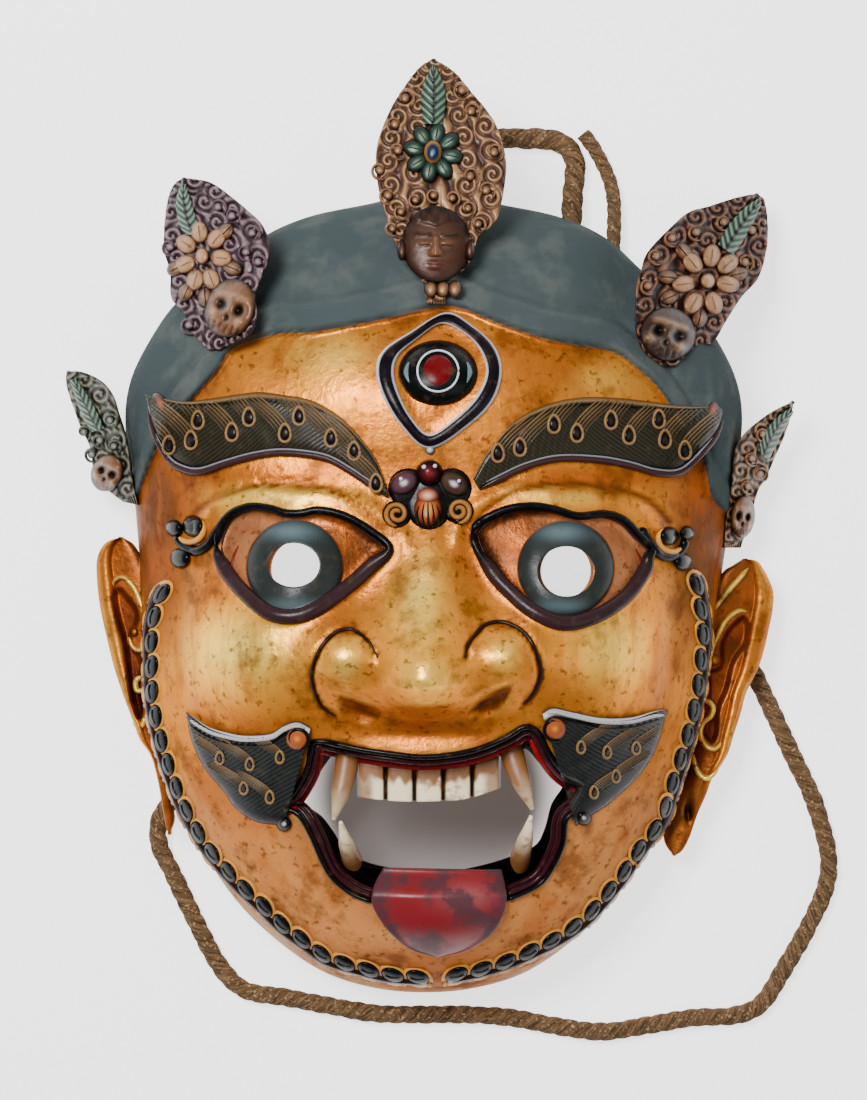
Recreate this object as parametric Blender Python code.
"""Gilt bronze mask of a three-eyed guardian, lying face up on its back rim.

The frame: +Z points out of the face, +Y to the crown and +X to the right of someone who looks at the face.
Left and right in names are that person's left and right.  The back rim lies in the plane Z = 0.

The free-form carving is drawn on a squared-up sheet, the way a carver enlarges a sketch: every outline and
height below is in squares, and one square is a 424th of the height of the mask.  Walls, plates, cords, holes
and clearances are real sizes in metres and don't grow with the sheet.
"""
import math

import bmesh
import bpy
import numpy as np
from mathutils import Vector

# Driving dimensions, in metres
mask_height = 0.424
wall = 0.003
gap = 0.0003
leaf_plate = 0.0045
ear_plate = 0.0075
tongue_plate = 0.0035
rope_diameter = 0.0082
loop_diameter = 0.0096
tail_diameter = 0.0066
cord_clearance = 0.0006
knot_swell = 2.1

square = mask_height / 424

# The blunt end of a leaf, a lobe or the tongue, in squares
blunt_tip = 1.6

# Detail of the meshes: grid cells across the shell and triangles that each solid keeps
shell_cells = 170
mask_triangles = 4350
leaf_triangles = 270
ear_triangles = 320
tongue_triangles = 150
gum_triangles = 300
fang_sides = 8
drill_sides = 16
knot_turns = 10
knot_rings = 6
cord_sides = 2

# The head in plan: right half of its outline, crown to chin, and the point it is swept round
head_centre = (0, -21)
head_half = [(0, 160), (30, 154), (58, 148), (80, 138), (99, 121), (118, 109), (131, 91), (140, 72), (142.7, 52),
             (140, 26), (138, 6), (136, -11), (134, -38), (131, -66), (127.5, -93), (118, -122), (108, -137),
             (98, -155), (84.5, -173), (66, -190), (46, -203), (23, -210), (0, -212)]
dome_rise = 105
jaw_lean = -4
face_roll = 0.015

# The hair's lower border across the forehead, left rim to right rim
hair_border = [(-150, 8), (-136, 17), (-127, 33), (-118, 48), (-105, 62), (-95, 73), (-88, 83), (-69, 88.5),
               (-52, 89), (-24, 94), (2, 100), (13, 99), (30, 92), (52, 85), (78, 81), (90, 73), (98, 66),
               (106, 55), (120, 33), (126, 16), (150, 0)]

# Outlines of the face's forms, right side first where both sides share one
eye_outline = [(17.5, -6.5), (26, 1.5), (38, 9), (50, 12), (60, 9.5), (71.5, 11.5), (81, 11), (90, 5), (96, -3),
               (92, -14.5), (83, -25.5), (71, -34.5), (58, -37), (46, -32.5), (34.5, -23), (25.5, -14)]
brow_outline = [(131, 63), (116, 59), (103, 59), (90, 60.5), (77.5, 61.5), (65.5, 60.5), (53, 58.5), (41, 53),
                (32, 45), (23, 34), (18, 22), (32, 26.5), (42, 31.5), (55, 34.5), (69, 34.5), (82, 33),
                (94, 29.5), (106, 28), (115, 33), (122.5, 43), (128, 50)]
third_eye = [(5, 98), (-10, 88.5), (-22, 80.5), (-25, 71.5), (-22, 60.5), (-14.5, 48), (-2, 37.5), (15.5, 48),
             (26, 58.5), (29.5, 71.5), (26, 83), (17, 92)]
lip_outline = [(-67, -119), (-60.5, -112), (-54.5, -101), (-52, -90), (-42, -88), (-32, -91), (-17.5, -93.5),
               (-2.5, -94.5), (16, -92), (30.5, -86.5), (39, -82), (45, -84), (49.5, -93.5), (56.5, -102),
               (67, -109), (63, -119), (58, -125), (56.5, -134.5), (52.5, -145), (46, -153.5), (32.5, -160),
               (16, -165), (0, -167), (-14, -165), (-27, -160.5), (-36, -156.5), (-44.5, -149.5),
               (-49.5, -141), (-53.5, -130.5), (-59, -123)]
mouth_opening = [(-59, -117), (-53, -109), (-47, -99.5), (-42, -96), (-25, -99.5), (-2, -101.5), (16, -100),
                 (30, -96), (40, -93), (47, -100), (58, -108), (52.5, -119), (49.5, -130.5), (45, -138),
                 (32, -143), (18.5, -146.5), (2, -149), (-14.5, -147.5), (-29.5, -144.5), (-39, -139),
                 (-45, -130.5), (-50, -124)]
moustache_left = [(-109.5, -78), (-99, -83), (-81.5, -86), (-70, -84), (-59, -78), (-52, -81), (-54.5, -101),
                  (-60, -112), (-66, -120), (-78, -124.5), (-87.5, -120), (-93, -112.5), (-101.5, -102),
                  (-107, -91)]
moustache_right = [(103, -76), (96.5, -76.5), (85, -78.5), (72, -78), (59.5, -74), (51, -70.5), (46, -76),
                   (50, -93), (57, -101), (68, -108), (69, -118), (78, -116), (90.5, -105), (98, -93),
                   (101.5, -83)]
beard_chain = [(118, 4), (117, -15), (122, -31), (125, -44), (126, -57), (126, -69), (124, -82), (119, -98),
               (115, -110), (110, -123), (103, -138), (94.5, -149), (84, -160), (73, -170), (62, -178.5),
               (50, -186), (38, -191.5), (24, -195.5), (8, -198.5), (0, -199)]
bead_pitch = 11.6
eye_hole_centre = (58.5, -13.5)
eye_hole_radius = 11.6
iris_radius = 21.5


def rounded(points, closed=False, spans=6):
    """A smooth line through hand-set points: each span is a cubic whose end slopes follow its neighbours."""
    knots = np.array(points, float)
    if closed:
        knots = np.concatenate([knots[-1:], knots, knots[:2]])
    else:
        knots = np.concatenate([2 * knots[:1] - knots[1:2], knots, 2 * knots[-1:] - knots[-2:-1]])
    share = (np.arange(spans) / spans)[:, None, None]
    before, start, end, after = knots[:-3], knots[1:-2], knots[2:-1], knots[3:]
    line = 0.5 * (2 * start + (end - before) * share + (2 * before - 5 * start + 4 * end - after) * share ** 2
                  + (3 * start - before - 3 * end + after) * share ** 3)
    line = line.transpose(1, 0, 2).reshape(-1, knots.shape[1])
    return line if closed else np.concatenate([line, knots[-2:-1]])


def spaced(line, pitch):
    """Points a fixed pitch apart along a line."""
    reach = np.concatenate([[0], np.cumsum(np.linalg.norm(np.diff(line, axis=0), axis=1))])
    stations = np.linspace(0, reach[-1], max(2, round(reach[-1] / pitch) + 1))
    return np.stack([np.interp(stations, reach, line[:, axis]) for axis in range(line.shape[1])], axis=1)


def ease(low, high, value):
    """A soft step from 0 to 1 between two values."""
    share = np.clip((value - low) / (high - low), 0, 1)
    return share * share * (3 - 2 * share)


def hill(x, y, centre, reach):
    """A round rise of height 1, falling off over its reach along X and Y."""
    return np.exp(-((x - centre[0]) / reach[0]) ** 2 - ((y - centre[1]) / reach[1]) ** 2)


def line_distance(x, y, line):
    """Shortest distance from each point of the sheet to a line."""
    best = np.full(x.shape, 1e9)
    for start, end in zip(line[:-1], line[1:]):
        run = end - start
        share = np.clip(((x - start[0]) * run[0] + (y - start[1]) * run[1]) / max(run @ run, 1e-12), 0, 1)
        best = np.minimum(best, np.hypot(x - start[0] - share * run[0], y - start[1] - share * run[1]))
    return best


def depth_in(x, y, loop):
    """Distance to a closed outline, positive inside it and negative outside."""
    closed = np.concatenate([loop, loop[:1]])
    crossings = np.zeros(x.shape, int)
    for start, end in zip(closed[:-1], closed[1:]):
        spans = (start[1] > y) != (end[1] > y)
        rise = end[1] - start[1] if end[1] != start[1] else 1e-12
        crossings += spans & (x < (end[0] - start[0]) * (y - start[1]) / rise + start[0])
    return np.where(crossings % 2 == 1, 1, -1) * line_distance(x, y, closed)


def lean(y):
    """How far the hand-beaten face leans to the left, from the eyes down to the chin."""
    return jaw_lean * ease(20, -80, y)


def outline_radius(angle):
    """Distance from the head's centre to its outline in each direction."""
    half = np.array(head_half, float)
    loop = rounded(np.concatenate([half, half[-2:0:-1] * (-1, 1)]), closed=True)
    turn = np.arctan2(loop[:, 1] - head_centre[1], loop[:, 0] - head_centre[0])
    reach = np.hypot(loop[:, 0] - head_centre[0], loop[:, 1] - head_centre[1])
    order = np.argsort(turn)
    return np.interp(angle, turn[order], reach[order], period=2 * math.pi)


def dome(x, y):
    """The plain shell: it rises steeply from the rim and is nearly flat over the face."""
    angle = np.arctan2(y - head_centre[1], x - lean(y) - head_centre[0])
    share = np.hypot(x - lean(y) - head_centre[0], y - head_centre[1]) / outline_radius(angle)
    return dome_rise * (1 - np.clip(share, 0, 1) ** 2.6) ** (1 / 2.2)


def features(x, y):
    """The broad forms that the inside of the casting follows too: brow, cheeks, eyes, nose, muzzle and chin."""
    across = np.abs(x - lean(y))
    level = y + face_roll * x
    rise = 9 * hill(across, level, (0, 65), (80, 30)) + 20 * hill(across, level, (70, -54), (33, 34))
    rise += 9 * hill(across, level, (58, -13), (34, 26)) + 8 * hill(x, y, (0, -95), (55, 15))
    rise += 9 * hill(x, y, (-2, -172), (44, 18))
    crest = np.interp(level, [-85, -79, -71, -62, -54, -40, -20, 2, 14], [0, 9, 30, 42, 40, 29, 15, 5, 0])
    spread = np.interp(level, [-85, -60, -45, -20, 5], [24, 21, 24, 19, 12])
    rise += crest * np.exp(-(across / spread) ** 2)
    rise += 19 * hill(across, level, (35, -54), (16, 18))
    return rise


def carving(x, y):
    """The finer relief of the front: hair, eyes, brows, third eye, nostrils, lips, moustache and beard chain."""
    across = np.abs(x - lean(y))
    level = y + face_roll * x
    border = rounded(hair_border)
    above = y - np.interp(x, border[:, 0], border[:, 1])
    hair = ease(-0.5, 2.5, above) * (7 - 2 * ease(12, 15, above) * ease(20, 16, above))
    rise = hair + 9 * ease(16, 60, above) - 4 * hill(x, y, (5, 130), (9, 40)) * ease(5, 20, above)

    eye = rounded(eye_outline, closed=True)
    lid = depth_in(across, level, eye)
    rise += 2.6 * np.exp(-(lid / 2.4) ** 2) + 2.2 * np.exp(-((lid + 7) / 4) ** 2) * ease(-12, 0, level)
    iris = np.hypot(across - eye_hole_centre[0], level - eye_hole_centre[1])
    rise += ease(0, 5, lid) * (4 * ease(iris_radius + 4, iris_radius - 3, iris) - 1)

    rise += 4.5 * ease(-0.5, 2, depth_in(across, level, rounded(brow_outline, closed=True)))
    almond = depth_in(x, y, rounded(third_eye, closed=True))
    rise += 3.2 * ease(-0.6, 1.5, almond) - 3.2 * ease(5, 8, almond)
    rise += 8 * np.sqrt(np.clip(1 - ((x - 2) / 17.5) ** 2 - ((y - 70) / 15) ** 2, 0, 1))
    rise += 6 * hill(x, y, (-1, 27), (12, 9)) + 3.5 * hill(np.abs(x + 1.5), y, (12, 19), (6, 9))

    nostril = hill(across, level + 0.35 * across, (27, -60.5), (9, 4))
    wing = np.hypot((across - 33) / 19, (level + 55) / 19)
    rise += -6 * nostril - 2.5 * np.exp(-((wing - 1) / 0.09) ** 2) * ease(-74, -66, level) * ease(8, 14, across)

    lip = depth_in(x, y, rounded(lip_outline, closed=True))
    rise += 3.2 * np.exp(-((lip + 1) / 2.6) ** 2) - mouth_drop(y) * ease(0.5, 8, lip)
    for side in (moustache_left, moustache_right):
        rise += 4.2 * ease(-0.5, 2, depth_in(x, y, rounded(side, closed=True)))

    path = rounded(beard_chain)
    rise += 2.4 * ease(5.5, 3.5, line_distance(across, y, path))
    for bead in spaced(path, bead_pitch):
        rise += 2.6 * hill(across, y, bead, (3.6, 3.6))
    return rise


def mouth_drop(y):
    """How far the metal falls back from the lips to the edge of the mouth opening."""
    return 19 - 6 * ease(-130, -150, y)


def mouth_recess(x, y):
    """The same drop behind the lips for the inside, set out by the wall so that the wall stays whole."""
    lip = depth_in(x, y, rounded(lip_outline, closed=True)) + wall / square
    return -mouth_drop(y) * ease(0.5, 8, lip)


def head_height(x, y):
    """Height of the mask's front above the rim."""
    plain = dome(x, y)
    return plain + (features(x, y) + carving(x, y)) * ease(0, 30, plain)


def inner_height(x, y):
    """Height of the smooth form that the inside runs under."""
    plain = dome(x, y)
    return plain + (features(x, y) - 1.5) * ease(0, 45, plain) + mouth_recess(x, y)


def sheet_points(cells):
    """The plan of the shell as a square grid pressed into the head's outline, denser at the rim."""
    u, v = np.meshgrid(np.linspace(-1, 1, cells + 1), np.linspace(-1, 1, cells + 1), indexing="ij")
    disc_x, disc_y = u * np.sqrt(1 - v * v / 2), v * np.sqrt(1 - u * u / 2)
    radius, angle = np.hypot(disc_x, disc_y), np.arctan2(disc_y, disc_x)
    share = 0.5 * radius + 0.5 * np.sin(np.clip(radius, 0, 1) * math.pi / 2)
    reach = share * outline_radius(angle)
    x, y = head_centre[0] + reach * np.cos(angle), head_centre[1] + reach * np.sin(angle)
    return x + lean(y), y, share


def hole_depth(x, y):
    """How far a point lies inside the mouth opening or an eye hole, negative on the metal."""
    across = np.abs(x - lean(y))
    eye = eye_hole_radius - np.hypot(across - eye_hole_centre[0], y + face_roll * x - eye_hole_centre[1])
    return np.maximum(eye, depth_in(x, y, rounded(mouth_opening, closed=True)))


def snapped(x, y, depth, share):
    """The grid with its cells in the holes dropped and the points round each hole moved onto its edge."""
    middle = (depth[:-1, :-1] + depth[1:, :-1] + depth[:-1, 1:] + depth[1:, 1:]) / 4
    keep = middle < 0
    touched = np.zeros(x.shape, bool)
    kept = np.zeros(x.shape, bool)
    for shift_u in (0, 1):
        for shift_v in (0, 1):
            block = (slice(shift_u, shift_u + keep.shape[0]), slice(shift_v, shift_v + keep.shape[1]))
            touched[block] |= ~keep
            kept[block] |= keep
    edge = touched & kept
    for _ in range(2):
        step = 0.05
        here = hole_depth(x, y)
        slope_x = (hole_depth(x + step, y) - here) / step
        slope_y = (hole_depth(x, y + step) - here) / step
        size = np.maximum(slope_x ** 2 + slope_y ** 2, 0.2)
        x = np.where(edge, x - here * slope_x / size, x)
        y = np.where(edge, y - here * slope_y / size, y)
    return x, y, keep


def new_object(name, vertices, faces, finish):
    """A named object from vertices in metres and faces, with its finish."""
    mesh = bpy.data.meshes.new(name)
    mesh.from_pydata([tuple(v) for v in vertices], [], [tuple(f) for f in faces])
    mesh.validate()
    piece = bpy.data.objects.new(name, mesh)
    bpy.context.scene.collection.objects.link(piece)
    mesh.materials.append(finish)
    return piece


def two_sided(name, front, back, keep, finish):
    """A closed body from a front grid and a back grid of points, joined by a wall along every open edge."""
    rows, columns = front.shape[:2]
    index = np.arange(rows * columns).reshape(rows, columns)
    corners = np.stack([index[:-1, :-1], index[1:, :-1], index[1:, 1:], index[:-1, 1:]], axis=-1)[keep]
    edges = np.concatenate([corners[:, [k, (k + 1) % 4]] for k in range(4)])
    count = rows * columns
    forward, reverse = edges[:, 0] * count + edges[:, 1], edges[:, 1] * count + edges[:, 0]
    rim = edges[~np.isin(forward, reverse)]
    walls = np.stack([rim[:, 1], rim[:, 0], rim[:, 0] + count, rim[:, 1] + count], axis=1)
    faces = np.concatenate([corners, corners[:, ::-1] + count, walls])
    used, faces = np.unique(faces, return_inverse=True)
    vertices = np.concatenate([front.reshape(-1, 3), back.reshape(-1, 3)])[used] * square
    return new_object(name, vertices, faces.reshape(-1, 4), finish)


def settle(piece, triangles=None):
    """Bakes a piece to one plain mesh, thinned to its number of triangles, with its faces pointing out."""
    work = bmesh.new()
    work.from_mesh(piece.data)
    bmesh.ops.triangulate(work, faces=work.faces)
    bmesh.ops.recalc_face_normals(work, faces=work.faces)
    work.to_mesh(piece.data)
    work.free()
    if triangles and len(piece.data.polygons) > triangles:
        thin = piece.modifiers.new("thin", "DECIMATE")
        thin.ratio = triangles / len(piece.data.polygons)
        thin.use_collapse_triangulate = True
    bake(piece)


def bake(piece):
    """Replaces a piece's mesh by what its modifiers make of it."""
    shaped = bpy.data.meshes.new_from_object(piece.evaluated_get(bpy.context.evaluated_depsgraph_get()))
    piece.modifiers.clear()
    piece.data = shaped


def subtract(piece, tool):
    """Cuts a tool's form out of a piece."""
    cut = piece.modifiers.new("cut", "BOOLEAN")
    cut.operation = "DIFFERENCE"
    cut.object = tool
    cut.use_self = True
    bake(piece)


def drop_offcuts(piece):
    """Keeps the largest body of a trimmed piece: what lay inside the shell came loose and goes."""
    work = bmesh.new()
    work.from_mesh(piece.data)
    left = set(work.faces)
    bodies = []
    while left:
        body, reach = set(), [left.pop()]
        while reach:
            face = reach.pop()
            body.add(face)
            joined = [edge for edge in face.edges if len(edge.link_faces) == 2]
            found = {other for edge in joined for other in edge.link_faces} & left
            left -= found
            reach.extend(found)
        bodies.append(body)
    bodies.sort(key=len)
    for body in bodies[:-1]:
        bmesh.ops.delete(work, geom=list(body), context="FACES")
    work.to_mesh(piece.data)
    work.free()


def hide(tool):
    """Marks a piece as a cutter."""
    tool.hide_render = True
    tool.display_type = "WIRE"


def grown(piece, name, amount):
    """A hidden copy of a piece with its skin moved out, used to cut its neighbours to a fit."""
    mesh = piece.data.copy()
    points = np.empty(len(mesh.vertices) * 3)
    normals = np.empty(len(mesh.vertices) * 3)
    mesh.vertices.foreach_get("co", points)
    mesh.vertex_normals.foreach_get("vector", normals)
    mesh.vertices.foreach_set("co", points + amount * normals)
    copy = bpy.data.objects.new(name, mesh)
    bpy.context.scene.collection.objects.link(copy)
    hide(copy)
    return copy


def finish(name, colour, roughness, metallic):
    """A plain finish with one colour."""
    material = bpy.data.materials.new(name)
    material.use_nodes = True
    shader = material.node_tree.nodes["Principled BSDF"]
    shader.inputs["Base Color"].default_value = (*colour, 1)
    shader.inputs["Roughness"].default_value = roughness
    shader.inputs["Metallic"].default_value = metallic
    return material


def under_skin(x, y, share, depth):
    """Points a depth under the smooth form of the face; round the lips they lie straight below it."""
    pull = 0.994
    inward_x = head_centre[0] + (x - lean(y) - head_centre[0]) * pull + lean(y)
    inward_y = head_centre[1] + (y - head_centre[1]) * pull
    step = 0.4
    slope_x = (inner_height(inward_x + step, inward_y) - inner_height(inward_x - step, inward_y)) / (2 * step)
    slope_y = (inner_height(inward_x, inward_y + step) - inner_height(inward_x, inward_y - step)) / (2 * step)
    upright = np.where(share >= 1, 0, 1)
    length = np.sqrt(slope_x ** 2 + slope_y ** 2 + upright)
    height = np.where(share >= 1, 0, np.maximum(inner_height(x, y) - depth * upright / length, 0.5))
    aside = depth * ease(-4, -12, depth_in(x, y, rounded(lip_outline, closed=True)))
    return np.stack([x + aside * slope_x / length, y + aside * slope_y / length, height], axis=-1)


def cast_mask(gilt):
    """The shell: front and inside are two sheets, a wall apart, that meet in the flat back rim and in the holes."""
    x, y, share = sheet_points(shell_cells)
    x, y, keep = snapped(x, y, hole_depth(x, y), share)
    front = np.stack([x, y, np.where(share >= 1, 0, head_height(x, y))], axis=-1)
    thick = wall / square
    back = under_skin(x, y, share, thick)
    back[..., 2] = np.minimum(back[..., 2], np.where(share >= 1, 0, front[..., 2] - 0.7 * thick))
    mask = two_sided("mask", front, back, keep, gilt)
    settle(mask, mask_triangles)
    return mask


def hollow_block(gilt):
    """A hidden block that fills the mask up to the middle of its wall and trims what would reach inside."""
    x, y, share = sheet_points(shell_cells // 3)
    top = under_skin(x, y, share, wall / square / 2)
    bottom = top * (1, 1, 0) - (0, 0, 5)
    block = two_sided("hollow", top, bottom, np.ones((len(x) - 1, len(x) - 1), bool), gilt)
    settle(block)
    hide(block)
    return block


def surface_piece(name, edge_a, edge_b, front_height, back_height, finish_of, rows=40, columns=24, triangles=None):
    """A plate between two edges of its plan, with a height for its front and one for its back."""
    first, second = parted(spaced_rows(edge_a, rows), spaced_rows(edge_b, rows))
    share = np.linspace(0, 1, columns + 1)[None, :, None]
    plan = first[:, None] * (1 - share) + second[:, None] * share
    x, y = plan[..., 0], plan[..., 1]
    across = np.broadcast_to(share[..., 0], x.shape)
    along = np.broadcast_to(np.linspace(0, 1, rows + 1)[:, None], x.shape)
    front = np.stack([x, y, front_height(x, y, across, along)], axis=-1)
    back = np.stack([x, y, back_height(x, y, across, along)], axis=-1)
    piece = two_sided(name, front, back, np.ones((rows, columns), bool), finish_of)
    settle(piece, triangles)
    return piece


def parted(first, second):
    """Two edges that meet in a point, held a blunt tip's width apart there."""
    across = second - first
    width = np.linalg.norm(across, axis=1, keepdims=True)
    facing = across / np.maximum(width, 1e-9)
    for row in np.flatnonzero(width[:, 0] < 0.2):
        facing[row] = facing[1 if row == 0 else row - 1]
    middle, half = (first + second) / 2, np.maximum(width, blunt_tip) / 2
    return middle - facing * half, middle + facing * half


def spaced_rows(edge, rows):
    """An edge as a smooth line of rows + 1 evenly spaced points."""
    line = rounded(edge)
    reach = np.concatenate([[0], np.cumsum(np.linalg.norm(np.diff(line, axis=0), axis=1))])
    stations = np.linspace(0, reach[-1], rows + 1)
    return np.stack([np.interp(stations, reach, line[:, 0]), np.interp(stations, reach, line[:, 1])], axis=1)


def tapered(name, path, radii, finish_of, sides=fang_sides):
    """A round, bent, tapering body along a path of points in squares, closed at both ends."""
    line = rounded(path, spans=3)
    stations = np.linspace(0, 1, len(line))
    radius = np.interp(stations, np.linspace(0, 1, len(radii)), radii)[:, None, None]
    along = np.gradient(line, axis=0)
    along /= np.linalg.norm(along, axis=1, keepdims=True)
    side = np.cross(along, (0, 0, 1))
    side /= np.linalg.norm(side, axis=1, keepdims=True)
    over = np.cross(side, along)
    turn = np.linspace(0, 2 * math.pi, sides, endpoint=False)[None, :, None]
    rings = line[:, None] + radius * (side[:, None] * np.cos(turn) + over[:, None] * np.sin(turn))
    count = len(line)
    faces = [(i * sides + j, i * sides + (j + 1) % sides, (i + 1) * sides + (j + 1) % sides, (i + 1) * sides + j)
             for i in range(count - 1) for j in range(sides)]
    faces += [tuple(range(sides))[::-1], tuple((count - 1) * sides + j for j in range(sides))]
    piece = new_object(name, rings.reshape(-1, 3) * square, faces, finish_of)
    settle(piece)
    return piece


def join(piece, other):
    """Fuses another body into a piece and removes it."""
    union = piece.modifiers.new("join", "BOOLEAN")
    union.operation = "UNION"
    union.object = other
    bake(piece)
    bpy.data.objects.remove(other, do_unlink=True)


# Crown leaves: both edges of each in plan from the base to the tip, the base and the way the leaf points,
# how its plane falls along it and across it (to its right), and where its carving sits
crown_leaves = {
    "crown_leaf_centre": {
        "left": [(-3, 101), (-4.5, 110.5), (-10, 116.5), (-15, 124.5), (-18, 132.5), (-20.5, 140), (-24.5, 154.5),
                 (-25, 171), (-19.5, 187.5), (-12.5, 199.5), (-6, 208), (0, 212)],
        "right": [(5, 101), (6, 110.5), (13.5, 116.5), (17.5, 123.5), (19.5, 131), (25, 135.5), (29, 142.5),
                  (32, 163), (28.5, 179), (24, 187.5), (18, 195), (9.5, 205.5), (0, 212)],
        "base": (0.5, 101), "points": (0, 1), "along": -0.235, "across": 0, "rise": 3,
        "head": (1, 127), "flower": (0, 168), "rib": [(0, 181), (0, 209)], "face": True,
        "knobs": [(-17, 181.5), (-23, 160.5), (17, 187.5), (27, 168)]},
    "crown_leaf_left_inner": {
        "left": [(-99, 82), (-107.5, 91), (-111, 99.5), (-117.5, 107), (-118.5, 119), (-122, 131), (-121.5, 149.5),
                 (-118.5, 159.5), (-113.5, 163)],
        "right": [(-94, 82), (-79.5, 88.5), (-77, 98), (-78, 105.5), (-73, 118.5), (-71, 126.5), (-75, 136.5),
                  (-81.5, 143.5), (-92.5, 153.5), (-101, 159.5), (-113.5, 163)],
        "base": (-96, 84), "points": (-0.2, 0.98), "along": -0.5, "across": 0.75, "rise": 4,
        "head": (-89, 101), "flower": (-103, 124), "rib": [(-107, 138), (-113, 160)], "face": False,
        "knobs": [(-96, 146.5), (-79.5, 133), (-76.5, 118), (-118, 130.5)]},
    "crown_leaf_right_inner": {
        "left": [(100, 75), (92, 81), (88.5, 89.5), (88.5, 100.5), (89, 109.5), (91.5, 117.5), (94.5, 125.5),
                 (105, 137), (114.5, 145.5), (125, 149.5), (138.5, 155), (149, 158)],
        "right": [(106.5, 75), (117, 85), (125, 87), (132, 97.5), (140, 109), (148.5, 118.5), (153, 132),
                  (154, 144.5), (152.5, 155), (149, 158)],
        "base": (103, 77.5), "points": (0.35, 0.94), "along": -0.5, "across": -0.75, "rise": 4,
        "head": (103, 90), "flower": (123, 114), "rib": [(131, 128), (147, 154)], "face": False,
        "knobs": [(117.5, 136.5), (98, 124.5), (92.5, 108), (147, 130)]},
    "crown_leaf_left_outer": {
        "left": [(-142, 16), (-150.5, 22), (-156, 26), (-156.5, 33), (-157.5, 42), (-161, 49.5), (-163.5, 57),
                 (-166, 64.5), (-167, 71), (-166, 75)],
        "right": [(-134.5, 14.5), (-136.5, 25.5), (-137.5, 38.5), (-139, 47.5), (-141.5, 56), (-143.5, 63),
                  (-148.5, 69.5), (-157.5, 74), (-166, 75)],
        "base": (-134.5, 15), "points": (-0.447, 0.894), "along": 0.1, "across": 1.3, "rise": 5,
        "head": (-149.5, 29.5), "flower": (-150.5, 51), "rib": [(-157, 62), (-164, 72)], "face": False,
        "knobs": [(-142, 57), (-159, 45)]},
    "crown_leaf_right_outer": {
        "left": [(133, -5), (133, 3), (133.5, 14), (135, 24), (135.5, 37.5), (140.5, 46.5), (151, 55), (159, 59.5),
                 (165, 62)],
        "right": [(141.5, -5), (145, 6.5), (147, 14), (149, 21.5), (152.5, 26.5), (156.5, 36), (160.5, 45),
                  (163.5, 54), (165, 62)],
        "base": (133.5, 3), "points": (0.35, 0.94), "along": 0.1, "across": -1.3, "rise": 4,
        "head": (140.5, 8.5), "flower": (146, 34), "rib": [(152, 47), (162, 58.5)], "face": False,
        "knobs": [(140, 36), (152, 40)]},
}
leaf_head_reach = 12
flower_reach = 12


def leaf_plane(spec):
    """The height of a leaf's plate: it leaves the head at its base and falls along and across the leaf."""
    base = spec["base"]
    points = np.array(spec["points"]) / np.hypot(*spec["points"])
    foot = float(head_height(np.array([base[0]], float), np.array([base[1]], float))[0]) + spec["rise"]

    def height(x, y):
        up = (x - base[0]) * points[0] + (y - base[1]) * points[1]
        over = (x - base[0]) * points[1] - (y - base[1]) * points[0]
        return foot + spec["along"] * up + spec["across"] * over

    return height


def leaf_carving(spec, x, y, across):
    """The leaf's relief: a head at its foot, an open flower, the rib that runs to the tip and small curls."""
    squeeze = math.sqrt(1 + spec["across"] ** 2)
    dx, dy = (x - spec["head"][0]) * squeeze, y - spec["head"][1]
    rise = 9 * np.sqrt(np.clip(1 - (dx ** 2 + dy ** 2 * 0.85) / leaf_head_reach ** 2, 0, 1))
    if not spec["face"]:
        for side in (-1, 1):
            rise -= 4.5 * np.exp(-(((dx - 4.5 * side) ** 2 + (dy + 1) ** 2) / 9))
    else:
        rise += 1.8 * np.exp(-(dx / 2) ** 2 - ((dy + 1) / 4) ** 2)
    dx, dy = (x - spec["flower"][0]) * squeeze, y - spec["flower"][1]
    reach, turn = np.hypot(dx, dy), np.arctan2(dy, dx)
    rise += (2.4 + 0.9 * np.cos(8 * turn)) * ease(flower_reach, flower_reach - 4, reach)
    rise += 3 * ease(5.5, 2, reach)
    rib = np.array(spec["rib"], float)
    rise += 2.2 * ease(4.5 / squeeze, 2 / squeeze, line_distance(x, y, rib))
    for knob in spec["knobs"]:
        rise += 2.5 * np.exp(-(((x - knob[0]) * squeeze) ** 2 + (y - knob[1]) ** 2) / 9)
    return rise + 1.2 * ease(0.82, 0.95, np.abs(2 * across - 1)) - 0.4


def crown_leaf(name, spec, bronze):
    """One leaf of the crown, a cast plate with its carving in front and a plain back."""
    plane = leaf_plane(spec)
    slant = math.sqrt(1 + spec["along"] ** 2 + spec["across"] ** 2)
    return surface_piece(name, spec["left"], spec["right"],
                         lambda x, y, across, along: plane(x, y) + leaf_carving(spec, x, y, across),
                         lambda x, y, across, along: plane(x, y) - slant * leaf_plate / square,
                         bronze, rows=64, columns=36, triangles=leaf_triangles)


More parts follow.
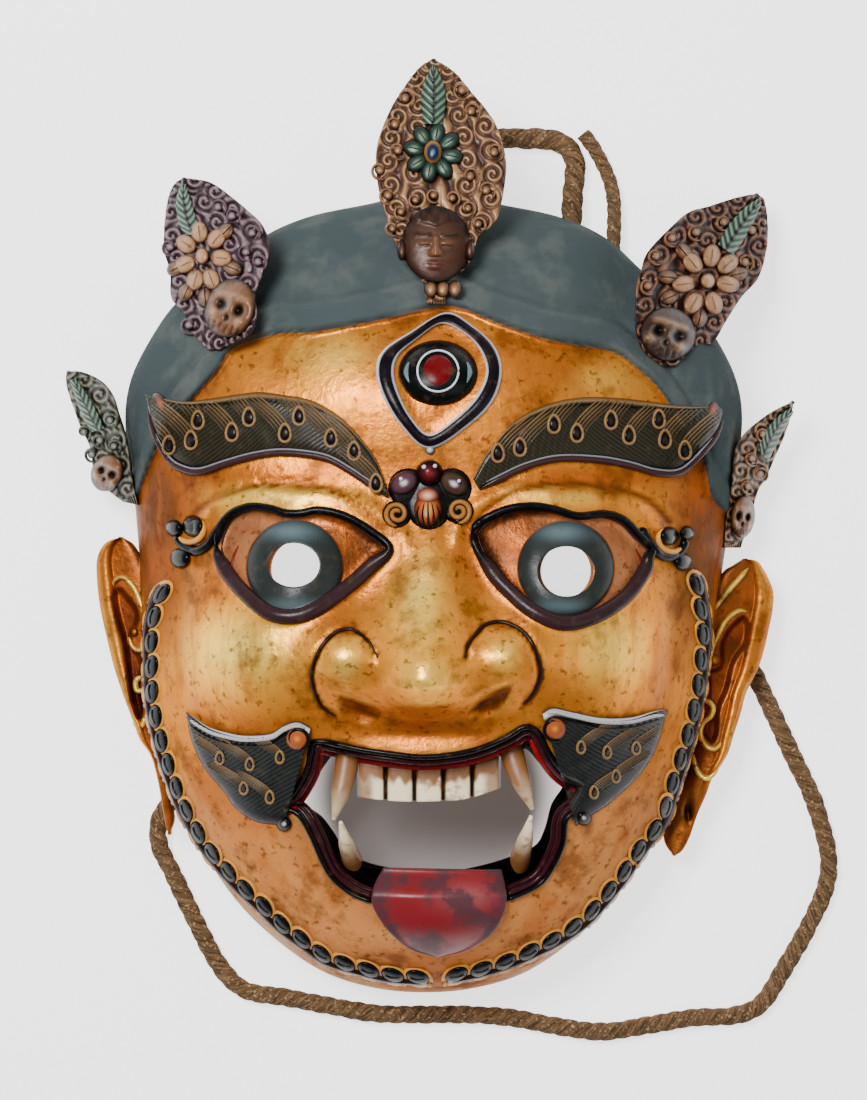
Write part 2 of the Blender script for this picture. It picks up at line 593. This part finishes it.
# Ears in plan, outer edge and inner edge from the top of the ear to the end of the long lobe
ears = {
    "ear_left": {
        "outer": [(-144, 0), (-151, -2.5), (-155, -9), (-155.5, -17.5), (-154, -31.5), (-151.5, -43), (-147.5, -59),
                  (-144, -69.5), (-141, -77.5), (-138, -85), (-135, -93), (-130.5, -99.5), (-128, -107),
                  (-126, -116.5), (-124.5, -126.5), (-123, -134), (-121.5, -137)],
        "inner": [(-144, 0), (-138.5, -3.5), (-134, -11.5), (-131, -19), (-129, -29), (-127, -47.5), (-126, -65.5),
                  (-125.5, -84), (-124.5, -95.5), (-123.5, -104.5), (-122, -114), (-120.5, -123), (-119.5, -130.5),
                  (-121.5, -137)],
        "hollow": [(-147, -27), (-141, -40), (-137, -62), (-134, -76)], "root": -128},
    "ear_right": {
        "outer": [(143.5, -10), (149, -11), (152, -14.5), (155, -20), (157, -26), (156.5, -34.5), (155, -41.5),
                  (152.5, -52), (149.5, -61), (144, -71.5), (141.5, -80.5), (138, -91), (135.5, -99), (132, -105),
                  (128, -111), (125.5, -118.5), (121.5, -128), (118, -138.5), (114.5, -145), (111, -147)],
        "inner": [(143.5, -10), (138.5, -13), (133.5, -16.5), (129.5, -26.5), (127, -35.5), (124.5, -47.5),
                  (123, -65.5), (121.5, -84), (120.5, -97.5), (117, -111.5), (111.5, -120.5), (107.5, -127.5),
                  (106.5, -138), (108, -143.5), (111, -147)],
        "hollow": [(141, -38), (136, -52), (131, -70), (127, -86)], "root": 128},
}
ear_height = 27
helix_roll = 4.5
ear_hollow = 4


def ear(name, spec, gilt):
    """An ear with its long lobe: a plate with a rolled outer rim and a hollow, standing off the head's side."""
    hollow = rounded(spec["hollow"])

    def front(x, y, across, along):
        pinna = ease(0.8, 0.66, along)
        roll = helix_roll * np.sqrt(np.clip(1 - ((across - 0.12) / 0.2) ** 2, 0, 1)) * pinna
        sunk = ear_hollow * ease(6.5, 3, line_distance(x, y, hollow)) * pinna
        edge = 2.5 * (2 * across - 1) ** 4
        return ear_height - 0.3 * np.abs(x - spec["root"]) + roll - sunk - edge

    def back(x, y, across, along):
        return ear_height - ear_plate / square - 0.3 * np.abs(x - spec["root"]) + 0 * along

    if name == "ear_right":
        first, second = spec["inner"], spec["outer"]
        return surface_piece(name, first, second, lambda x, y, across, along: front(x, y, 1 - across, along),
                             back, gilt, rows=70, columns=20, triangles=ear_triangles)
    return surface_piece(name, spec["outer"], spec["inner"], front, back, gilt, rows=70, columns=20,
                         triangles=ear_triangles)


# Teeth: the gum bar behind the upper lip, five broad front teeth, and four fangs
teeth_left, teeth_right = -33.5, 29.5
tooth_count = 5
tooth_height = 92
fang_root_radius = 5.2


def upper_teeth(bone):
    """The upper jaw in one piece: a gum bar, front teeth that hang from it and a fang at each end."""
    def front(x, y, across, along):
        share = (x - teeth_left) / (teeth_right - teeth_left) * tooth_count
        crown = np.sqrt(np.clip(1 - (2 * (share % 1) - 1) ** 4, 0, 1))
        return tooth_height - 3.2 * (1 - crown) - 0.0025 * x ** 2 - 2 * ease(0.8, 1, across)

    def back(x, y, across, along):
        return tooth_height - 8 - 0.0025 * x ** 2 + 0 * along

    gum = [(teeth_left, -95), (-16, -98), (0, -98.5), (14, -97.5), (teeth_right, -94)]
    tips = [(teeth_left, -114), (-16, -115.5), (0, -115.5), (14, -114.5), (teeth_right, -110)]
    jaw = surface_piece("upper_teeth", tips, gum, front, back, bone, rows=60, columns=8, triangles=gum_triangles)
    for path in ([(-37, -92, 86), (-38.5, -103, 89), (-41, -114, 92), (-43.5, -123.5, 93)],
                 [(33, -89, 86), (35.5, -99, 89), (39.5, -110, 92), (43, -119, 93)]):
        join(jaw, tapered("fang", path, [fang_root_radius, fang_root_radius, 4, 0.8], bone))
    return jaw


lower_fangs = {
    "lower_fang_left": [(-34, -149, 63), (-36, -143, 72), (-38.5, -134, 84), (-40.5, -124.5, 91)],
    "lower_fang_right": [(38, -149, 62), (38.5, -142, 71), (40.5, -132, 84), (42.5, -122, 91)],
}

# The tongue: its two edges in plan from the gum to the tip
tongue_left = [(-22, -146), (-26, -153), (-27, -160), (-24, -167), (-19, -174), (-10.5, -182), (2, -186.5)]
tongue_right = [(30, -147), (31.5, -153), (32, -160), (30.5, -167), (25, -176), (15, -183), (2, -186.5)]


def tongue(name, red):
    """The tongue, a plate with a raised rim that hangs over the lower lip and lies on the chin."""
    def lie(x, y):
        chin = dome(x, y) + features(x, y)
        return np.minimum(chin, 87 - 0.001 * x ** 2) - 9 * ease(-158, -146, y)

    def front(x, y, across, along):
        rim = 0.8 * ease(0.8, 1, np.abs(2 * across - 1)) * ease(0, 0.3, along)
        return lie(x, y) + tongue_plate / square + 1.5 * np.sin(np.pi * across) + rim

    def back(x, y, across, along):
        return lie(x, y) - 1.5 + 0 * along

    return surface_piece(name, tongue_left, tongue_right, front, back, red, rows=34, columns=20,
                         triangles=tongue_triangles)


# Cord routes in metres: each starts at its knot inside the shell and runs out through its hole, whose
# middle lies a rise above the rim; a drill is longer than the stretch of cord that it follows by its reach
hole_rise = 0.010
drill_reach = 1.6
rope_route = [(-0.1080, -0.1020, 0.0100), (-0.1150, -0.1125, 0.0100), (-0.1215, -0.1222, 0.0100),
              (-0.1275, -0.1315, 0.0094), (-0.1278, -0.1435, 0.0066), (-0.1215, -0.1575, 0.0045),
              (-0.1115, -0.1785, 0.0042), (-0.1000, -0.2000, 0.0042), (-0.0880, -0.2115, 0.0042),
              (-0.0690, -0.2150, 0.0042), (-0.0480, -0.2190, 0.0042), (-0.0270, -0.2225, 0.0042),
              (-0.0055, -0.2230, 0.0042), (0.0155, -0.2230, 0.0042), (0.0365, -0.2245, 0.0042),
              (0.0580, -0.2285, 0.0042), (0.0790, -0.2310, 0.0042), (0.1000, -0.2280, 0.0042),
              (0.1210, -0.2245, 0.0042), (0.1400, -0.2235, 0.0042), (0.1530, -0.2180, 0.0042),
              (0.1635, -0.2020, 0.0042), (0.1745, -0.1830, 0.0042), (0.1830, -0.1640, 0.0042),
              (0.1845, -0.1490, 0.0042), (0.1805, -0.1320, 0.0042), (0.1760, -0.1190, 0.0042),
              (0.1680, -0.1025, 0.0042), (0.1585, -0.0820, 0.0044), (0.1505, -0.0655, 0.0054),
              (0.1430, -0.0525, 0.0080), (0.1345, -0.0420, 0.0098), (0.1250, -0.0335, 0.0100),
              (0.1160, -0.0260, 0.0100)]
loop_route = [(0.0120, 0.1390, 0.0100), (0.0137, 0.1500, 0.0100), (0.0155, 0.1620, 0.0098),
              (0.0188, 0.1725, 0.0070), (0.0240, 0.1812, 0.0052), (0.0320, 0.1860, 0.0049),
              (0.0420, 0.1860, 0.0049), (0.0520, 0.1858, 0.0049), (0.0605, 0.1835, 0.0049),
              (0.0655, 0.1770, 0.0049), (0.0660, 0.1690, 0.0054), (0.0650, 0.1615, 0.0074),
              (0.0645, 0.1540, 0.0094), (0.0641, 0.1460, 0.0100), (0.0636, 0.1380, 0.0100)]
tail_route = [(0.0700, 0.1885, 0.0034), (0.0745, 0.1825, 0.0034), (0.0790, 0.1745, 0.0034),
              (0.0825, 0.1660, 0.0040), (0.0840, 0.1570, 0.0064), (0.0841, 0.1480, 0.0090),
              (0.0838, 0.1395, 0.0100), (0.0836, 0.1310, 0.0100), (0.0834, 0.1230, 0.0100)]


def cord(name, route, diameter, fibre):
    """A cord along its route, one round tube with a point about every two diameters."""
    line = spaced(rounded(route, spans=8), 2 * diameter)
    curve = bpy.data.curves.new(name, "CURVE")
    curve.dimensions = "3D"
    curve.bevel_depth = diameter / 2
    curve.bevel_resolution = cord_sides
    curve.use_fill_caps = True
    run = curve.splines.new("POLY")
    run.points.add(len(line) - 1)
    run.points.foreach_set("co", np.concatenate([line, np.ones((len(line), 1))], axis=1).ravel())
    curve.materials.append(fibre)
    piece = bpy.data.objects.new(name, curve)
    bpy.context.scene.collection.objects.link(piece)
    return piece


def cord_hole(mask, route, end, diameter):
    """Drills the hole through the back of the wall that a cord runs through, in line with the cord."""
    inner, outer = (np.array(route[k]) for k in ((0, 2) if end == "start" else (-1, -3)))
    axis = outer - inner
    length = float(np.linalg.norm(axis)) * drill_reach
    bpy.ops.mesh.primitive_cylinder_add(vertices=drill_sides, radius=diameter / 2 + cord_clearance, depth=length)
    drill = bpy.context.object
    drill.name = "drill"
    drill.rotation_mode = "QUATERNION"
    drill.location = (inner + outer) / 2 * (1, 1, 0) + np.array((0, 0, hole_rise))
    axis[2] = 0
    drill.rotation_quaternion = Vector(axis).to_track_quat("Z", "Y")
    bpy.context.view_layer.update()
    subtract(mask, drill)
    bpy.data.objects.remove(drill, do_unlink=True)


def knot(name, route, end, diameter, fibre):
    """The knot that keeps a cord from slipping out: a fat rounded lump right behind the cord's inner end."""
    first, second = (np.array(route[k]) for k in ((0, 1) if end == "start" else (-1, -2)))
    away = (first - second) / np.linalg.norm(first - second)
    swell = knot_swell * diameter / 2
    bpy.ops.mesh.primitive_uv_sphere_add(segments=knot_turns, ring_count=knot_rings, radius=swell)
    lump = bpy.context.object
    lump.name = name
    lump.data.name = name
    middle = first + away * (swell + gap)
    middle[2] = max(middle[2], swell + gap)
    lump.location = middle
    lump.data.materials.append(fibre)
    return lump


for old in list(bpy.data.objects):
    bpy.data.objects.remove(old, do_unlink=True)

gilt = finish("gilt bronze", (0.72, 0.42, 0.14), 0.35, 0.9)
dark_bronze = finish("dark painted bronze", (0.12, 0.07, 0.06), 0.45, 0.5)
bone = finish("cream paint", (0.75, 0.66, 0.48), 0.5, 0.1)
red = finish("red lacquer", (0.35, 0.03, 0.03), 0.25, 0.0)
jute = finish("jute", (0.20, 0.14, 0.08), 0.9, 0.0)

mask = cast_mask(gilt)
fit = grown(mask, "fit", gap * 1.6)
hollow = hollow_block(gilt)
attached = [crown_leaf(name, spec, dark_bronze) for name, spec in crown_leaves.items()]
attached += [ear(name, spec, gilt) for name, spec in ears.items()]
attached += [tapered(name, path, [4.6, 4.4, 3.4, 0.8], bone) for name, path in lower_fangs.items()]
attached += [upper_teeth(bone), tongue("tongue", red)]
for piece in attached:
    subtract(piece, fit)
for piece in attached[:len(crown_leaves) + len(ears)]:
    subtract(piece, hollow)
for piece in attached:
    drop_offcuts(piece)

for route, ends, diameter in ((rope_route, ("start", "end"), rope_diameter),
                              (loop_route, ("start", "end"), loop_diameter),
                              (tail_route, ("end",), tail_diameter)):
    for end in ends:
        cord_hole(mask, route, end, diameter)
cord("rope", rope_route, rope_diameter, jute)
cord("hanging_loop", loop_route, loop_diameter, jute)
cord("loop_tail", tail_route, tail_diameter, jute)
knot("rope_knot_left", rope_route, "start", rope_diameter, jute)
knot("rope_knot_right", rope_route, "end", rope_diameter, jute)
knot("loop_knot_left", loop_route, "start", loop_diameter, jute)
knot("loop_knot_right", loop_route, "end", loop_diameter, jute)
knot("tail_knot", tail_route, "end", tail_diameter, jute)

bpy.context.view_layer.update()
cords = ("rope", "hanging_loop", "loop_tail")
pieces = [piece for piece in bpy.data.objects if not piece.hide_render]
solid = [piece.matrix_world @ vertex.co for piece in pieces if piece.name not in cords and "knot" not in piece.name
         for vertex in piece.data.vertices]
middle_x = (min(point.x for point in solid) + max(point.x for point in solid)) / 2
middle_y = (min(point.y for point in solid) + max(point.y for point in solid)) / 2
for piece in pieces:
    piece.location -= Vector((middle_x, middle_y, 0))
print(f"moved onto its middle by {-middle_x * 1000:.2f} and {-middle_y * 1000:.2f} mm")
